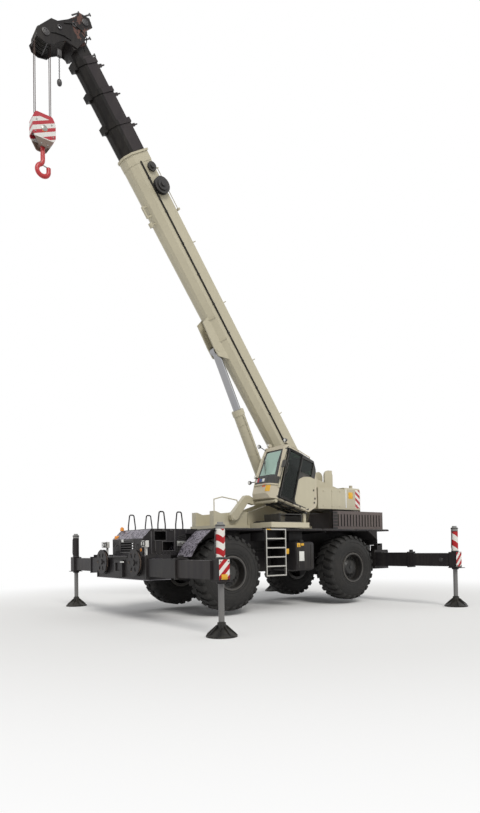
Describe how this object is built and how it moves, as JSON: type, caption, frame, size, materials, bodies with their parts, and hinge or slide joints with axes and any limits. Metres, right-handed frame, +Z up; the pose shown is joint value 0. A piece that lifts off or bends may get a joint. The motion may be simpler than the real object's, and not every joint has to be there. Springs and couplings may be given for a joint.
{
  "type": "mobile crane",
  "caption": "Rough-terrain mobile crane on extended outriggers, with a slewing turntable, tilting side cab, telescopic boom and hook block on hoist ropes.",
  "frame": {"origin": "on the ground, under the slewing axis, midway between the left and right floats", "axes": "+X towards the carrier's front and the boom's head, +Y to the left, the cab's side, +Z up"},
  "size_m": [10.5627, 8.4996, 14.2285],
  "materials": {
    "charcoal_paint": "satin",
    "deck_paint": "matte, anti-slip",
    "hood_paint": "satin",
    "engine_iron": "cast",
    "ladder_aluminium": "mill finish",
    "lamp_glass": "clear lens",
    "beige_paint": "gloss",
    "winch_paint": "satin",
    "reel_black": "matte",
    "boom_grey": "satin",
    "sheave_black": "cast polyamide",
    "rod_chrome": "hard chrome",
    "rope_steel": "greased wire",
    "block_paint": "gloss",
    "hook_red": "gloss",
    "cab_window_glass": "clear",
    "seat_fabric": "woven",
    "door_paint": "satin",
    "rim_paint": "gloss",
    "tyre_rubber": "ribbed",
    "jack_steel": "ground rod"
  },
  "bodies": {
    "carrier": {"chassis_frame": "charcoal_paint", "engine": "engine_iron", "deck": "deck_paint", "front_hood": "hood_paint", "engine_hood": "hood_paint", "front_axle": "charcoal_paint", "rear_axle": "charcoal_paint", "front_outrigger_box": "charcoal_paint", "rear_outrigger_box": "charcoal_paint", "ladder": "ladder_aluminium", "side_tanks": "charcoal_paint", "grab_rails": "charcoal_paint", "hose_reels": "charcoal_paint", "headlamps": "lamp_glass"},
    "superstructure": {"turntable": "beige_paint", "counterweight": "beige_paint", "side_cabinets": "beige_paint", "winch": "winch_paint"},
    "boom_base": {"boom_base": "beige_paint", "cable_reel": "reel_black"},
    "boom_section_2": {"boom_section_2": "boom_grey"},
    "boom_section_3": {"boom_section_3": "boom_grey"},
    "boom_section_4": {"boom_section_4": "boom_grey"},
    "boom_section_5": {"boom_section_5": "boom_grey", "head_sheaves": "sheave_black"},
    "luff_rod": {"luff_rod": "rod_chrome"},
    "luff_barrel": {"luff_barrel": "beige_paint"},
    "load_line": {"hoist_ropes": "rope_steel"},
    "hook_block": {"hook_block": "block_paint"},
    "hook": {"hook": "hook_red"},
    "cab": {"cab_shell": "beige_paint", "cab_glass": "cab_window_glass", "operator_seat": "seat_fabric"},
    "cab_door": {"cab_door": "door_paint", "cab_door_glass": "cab_window_glass"},
    "cab_lift_arm": {"cab_lift_arm": "beige_paint"},
    "knuckle_front_left": {"knuckle_front_left": "charcoal_paint"},
    "wheel_front_left": {"rim_front_left": "rim_paint", "tyre_front_left": "tyre_rubber"},
    "knuckle_front_right": {"knuckle_front_right": "charcoal_paint"},
    "wheel_front_right": {"rim_front_right": "rim_paint", "tyre_front_right": "tyre_rubber"},
    "knuckle_rear_left": {"knuckle_rear_left": "charcoal_paint"},
    "wheel_rear_left": {"rim_rear_left": "rim_paint", "tyre_rear_left": "tyre_rubber"},
    "knuckle_rear_right": {"knuckle_rear_right": "charcoal_paint"},
    "wheel_rear_right": {"rim_rear_right": "rim_paint", "tyre_rear_right": "tyre_rubber"},
    "outer_beam_front_left": {"outer_beam_front_left": "charcoal_paint"},
    "inner_beam_front_left": {"inner_beam_front_left": "charcoal_paint"},
    "jack_front_left": {"jack_front_left": "jack_steel"},
    "outer_beam_front_right": {"outer_beam_front_right": "charcoal_paint"},
    "inner_beam_front_right": {"inner_beam_front_right": "charcoal_paint"},
    "jack_front_right": {"jack_front_right": "jack_steel"},
    "outer_beam_rear_left": {"outer_beam_rear_left": "charcoal_paint"},
    "inner_beam_rear_left": {"inner_beam_rear_left": "charcoal_paint"},
    "jack_rear_left": {"jack_rear_left": "jack_steel"},
    "outer_beam_rear_right": {"outer_beam_rear_right": "charcoal_paint"},
    "inner_beam_rear_right": {"inner_beam_rear_right": "charcoal_paint"},
    "jack_rear_right": {"jack_rear_right": "jack_steel"}
  },
  "joints": [
    {"name": "slew", "type": "hinge", "parent": "carrier", "child": "superstructure", "pos_m": [0, 0, 2.1875], "axis": [0, 0, 1], "continuous": true},
    {"name": "boom_luff", "type": "hinge", "parent": "superstructure", "child": "boom_base", "pos_m": [-1.67, 0, 3.5], "axis": [0, -1, 0], "range_deg": [-56, 25]},
    {"name": "telescope_2", "type": "slide", "parent": "boom_base", "child": "boom_section_2", "axis": [0.5736, 0, 0.8192], "range_m": [0, 7.8]},
    {"name": "telescope_3", "type": "slide", "parent": "boom_section_2", "child": "boom_section_3", "axis": [0.5736, 0, 0.8192], "range_m": [0, 7.8]},
    {"name": "telescope_4", "type": "slide", "parent": "boom_section_3", "child": "boom_section_4", "axis": [0.5736, 0, 0.8192], "range_m": [0, 7.8]},
    {"name": "telescope_5", "type": "slide", "parent": "boom_section_4", "child": "boom_section_5", "axis": [0.5736, 0, 0.8192], "range_m": [0, 7.8]},
    {"name": "luff_rod_swing", "type": "hinge", "parent": "boom_base", "child": "luff_rod", "pos_m": [1.45014, 0, 7.10173], "axis": [0, -1, 0], "range_deg": [-2.5, 1.2]},
    {"name": "luff_extend", "type": "slide", "parent": "luff_rod", "child": "luff_barrel", "axis": [-0.421, 0, -0.9071], "range_m": [-1.24, 0.56]},
    {"name": "load_line_swing", "type": "hinge", "parent": "boom_section_5", "child": "load_line", "pos_m": [6.14275, 0, 13.3502], "axis": [0, -1, 0], "range_deg": [-25, 56]},
    {"name": "hoist", "type": "slide", "parent": "load_line", "child": "hook_block", "axis": [0, 0, 1], "range_m": [-8, 0.9], "deforming": ["hoist_ropes"]},
    {"name": "hook_swivel", "type": "hinge", "parent": "hook_block", "child": "hook", "pos_m": [6.14275, 0, 10.88], "axis": [0, 0, 1], "continuous": true},
    {"name": "cab_tilt", "type": "hinge", "parent": "superstructure", "child": "cab", "pos_m": [-0.46, 1.14, 2.62], "axis": [0, -1, 0], "range_deg": [-16, 0]},
    {"name": "cab_door_slide", "type": "slide", "parent": "cab", "child": "cab_door", "axis": [-0.9613, 0, -0.2756], "range_m": [0, 0.48]},
    {"name": "cab_lift_arm_swing", "type": "hinge", "parent": "superstructure", "child": "cab_lift_arm", "pos_m": [1.4, 0.665, 2.48], "axis": [0, -1, 0], "range_deg": [0, 32]},
    {"name": "steer_front_left", "type": "hinge", "parent": "carrier", "child": "knuckle_front_left", "pos_m": [2.09, 0.78, 1.055], "axis": [0, 0, 1], "range_deg": [-25, 25]},
    {"name": "wheel_spin_front_left", "type": "hinge", "parent": "knuckle_front_left", "child": "wheel_front_left", "pos_m": [2.09, 1.2, 1.055], "axis": [0, 1, 0], "continuous": true},
    {"name": "steer_front_right", "type": "hinge", "parent": "carrier", "child": "knuckle_front_right", "pos_m": [2.09, -0.78, 1.055], "axis": [0, 0, 1], "range_deg": [-25, 25]},
    {"name": "wheel_spin_front_right", "type": "hinge", "parent": "knuckle_front_right", "child": "wheel_front_right", "pos_m": [2.09, -1.2, 1.055], "axis": [0, 1, 0], "continuous": true},
    {"name": "steer_rear_left", "type": "hinge", "parent": "carrier", "child": "knuckle_rear_left", "pos_m": [-2.25, 0.78, 1.055], "axis": [0, 0, 1], "range_deg": [-25, 25]},
    {"name": "wheel_spin_rear_left", "type": "hinge", "parent": "knuckle_rear_left", "child": "wheel_rear_left", "pos_m": [-2.25, 1.2, 1.055], "axis": [0, 1, 0], "continuous": true},
    {"name": "steer_rear_right", "type": "hinge", "parent": "carrier", "child": "knuckle_rear_right", "pos_m": [-2.25, -0.78, 1.055], "axis": [0, 0, 1], "range_deg": [-25, 25]},
    {"name": "wheel_spin_rear_right", "type": "hinge", "parent": "knuckle_rear_right", "child": "wheel_rear_right", "pos_m": [-2.25, -1.2, 1.055], "axis": [0, 1, 0], "continuous": true},
    {"name": "beam_front_left", "type": "slide", "parent": "carrier", "child": "outer_beam_front_left", "axis": [0, 1, 0], "range_m": [-1.175, 0]},
    {"name": "beam_tip_front_left", "type": "slide", "parent": "outer_beam_front_left", "child": "inner_beam_front_left", "axis": [0, 1, 0], "range_m": [-1.175, 0]},
    {"name": "jack_lift_front_left", "type": "slide", "parent": "inner_beam_front_left", "child": "jack_front_left", "axis": [0, 0, 1], "range_m": [-0.1, 0.6]},
    {"name": "beam_front_right", "type": "slide", "parent": "carrier", "child": "outer_beam_front_right", "axis": [0, -1, 0], "range_m": [-1.175, 0]},
    {"name": "beam_tip_front_right", "type": "slide", "parent": "outer_beam_front_right", "child": "inner_beam_front_right", "axis": [0, -1, 0], "range_m": [-1.175, 0]},
    {"name": "jack_lift_front_right", "type": "slide", "parent": "inner_beam_front_right", "child": "jack_front_right", "axis": [0, 0, 1], "range_m": [-0.1, 0.6]},
    {"name": "beam_rear_left", "type": "slide", "parent": "carrier", "child": "outer_beam_rear_left", "axis": [0, 1, 0], "range_m": [-1.175, 0]},
    {"name": "beam_tip_rear_left", "type": "slide", "parent": "outer_beam_rear_left", "child": "inner_beam_rear_left", "axis": [0, 1, 0], "range_m": [-1.175, 0]},
    {"name": "jack_lift_rear_left", "type": "slide", "parent": "inner_beam_rear_left", "child": "jack_rear_left", "axis": [0, 0, 1], "range_m": [-0.1, 0.6]},
    {"name": "beam_rear_right", "type": "slide", "parent": "carrier", "child": "outer_beam_rear_right", "axis": [0, -1, 0], "range_m": [-1.175, 0]},
    {"name": "beam_tip_rear_right", "type": "slide", "parent": "outer_beam_rear_right", "child": "inner_beam_rear_right", "axis": [0, -1, 0], "range_m": [-1.175, 0]},
    {"name": "jack_lift_rear_right", "type": "slide", "parent": "inner_beam_rear_right", "child": "jack_rear_right", "axis": [0, 0, 1], "range_m": [-0.1, 0.6]}
  ],
  "couplings": [
    {"joint": "telescope_3", "follows": "telescope_2", "ratio": 1},
    {"joint": "telescope_4", "follows": "telescope_2", "ratio": 1},
    {"joint": "telescope_5", "follows": "telescope_2", "ratio": 1},
    {"joint": "luff_rod_swing", "follows": "boom_luff", "ratio": 0.04},
    {"joint": "luff_extend", "follows": "boom_luff", "m_per_rad": 1.25},
    {"joint": "load_line_swing", "follows": "boom_luff", "ratio": -1},
    {"joint": "cab_lift_arm_swing", "follows": "cab_tilt", "ratio": -2},
    {"joint": "steer_front_right", "follows": "steer_front_left", "ratio": 1},
    {"joint": "steer_rear_right", "follows": "steer_rear_left", "ratio": 1},
    {"joint": "beam_tip_front_left", "follows": "beam_front_left", "ratio": 1},
    {"joint": "beam_tip_front_right", "follows": "beam_front_right", "ratio": 1},
    {"joint": "beam_tip_rear_left", "follows": "beam_rear_left", "ratio": 1},
    {"joint": "beam_tip_rear_right", "follows": "beam_rear_right", "ratio": 1}
  ]
}
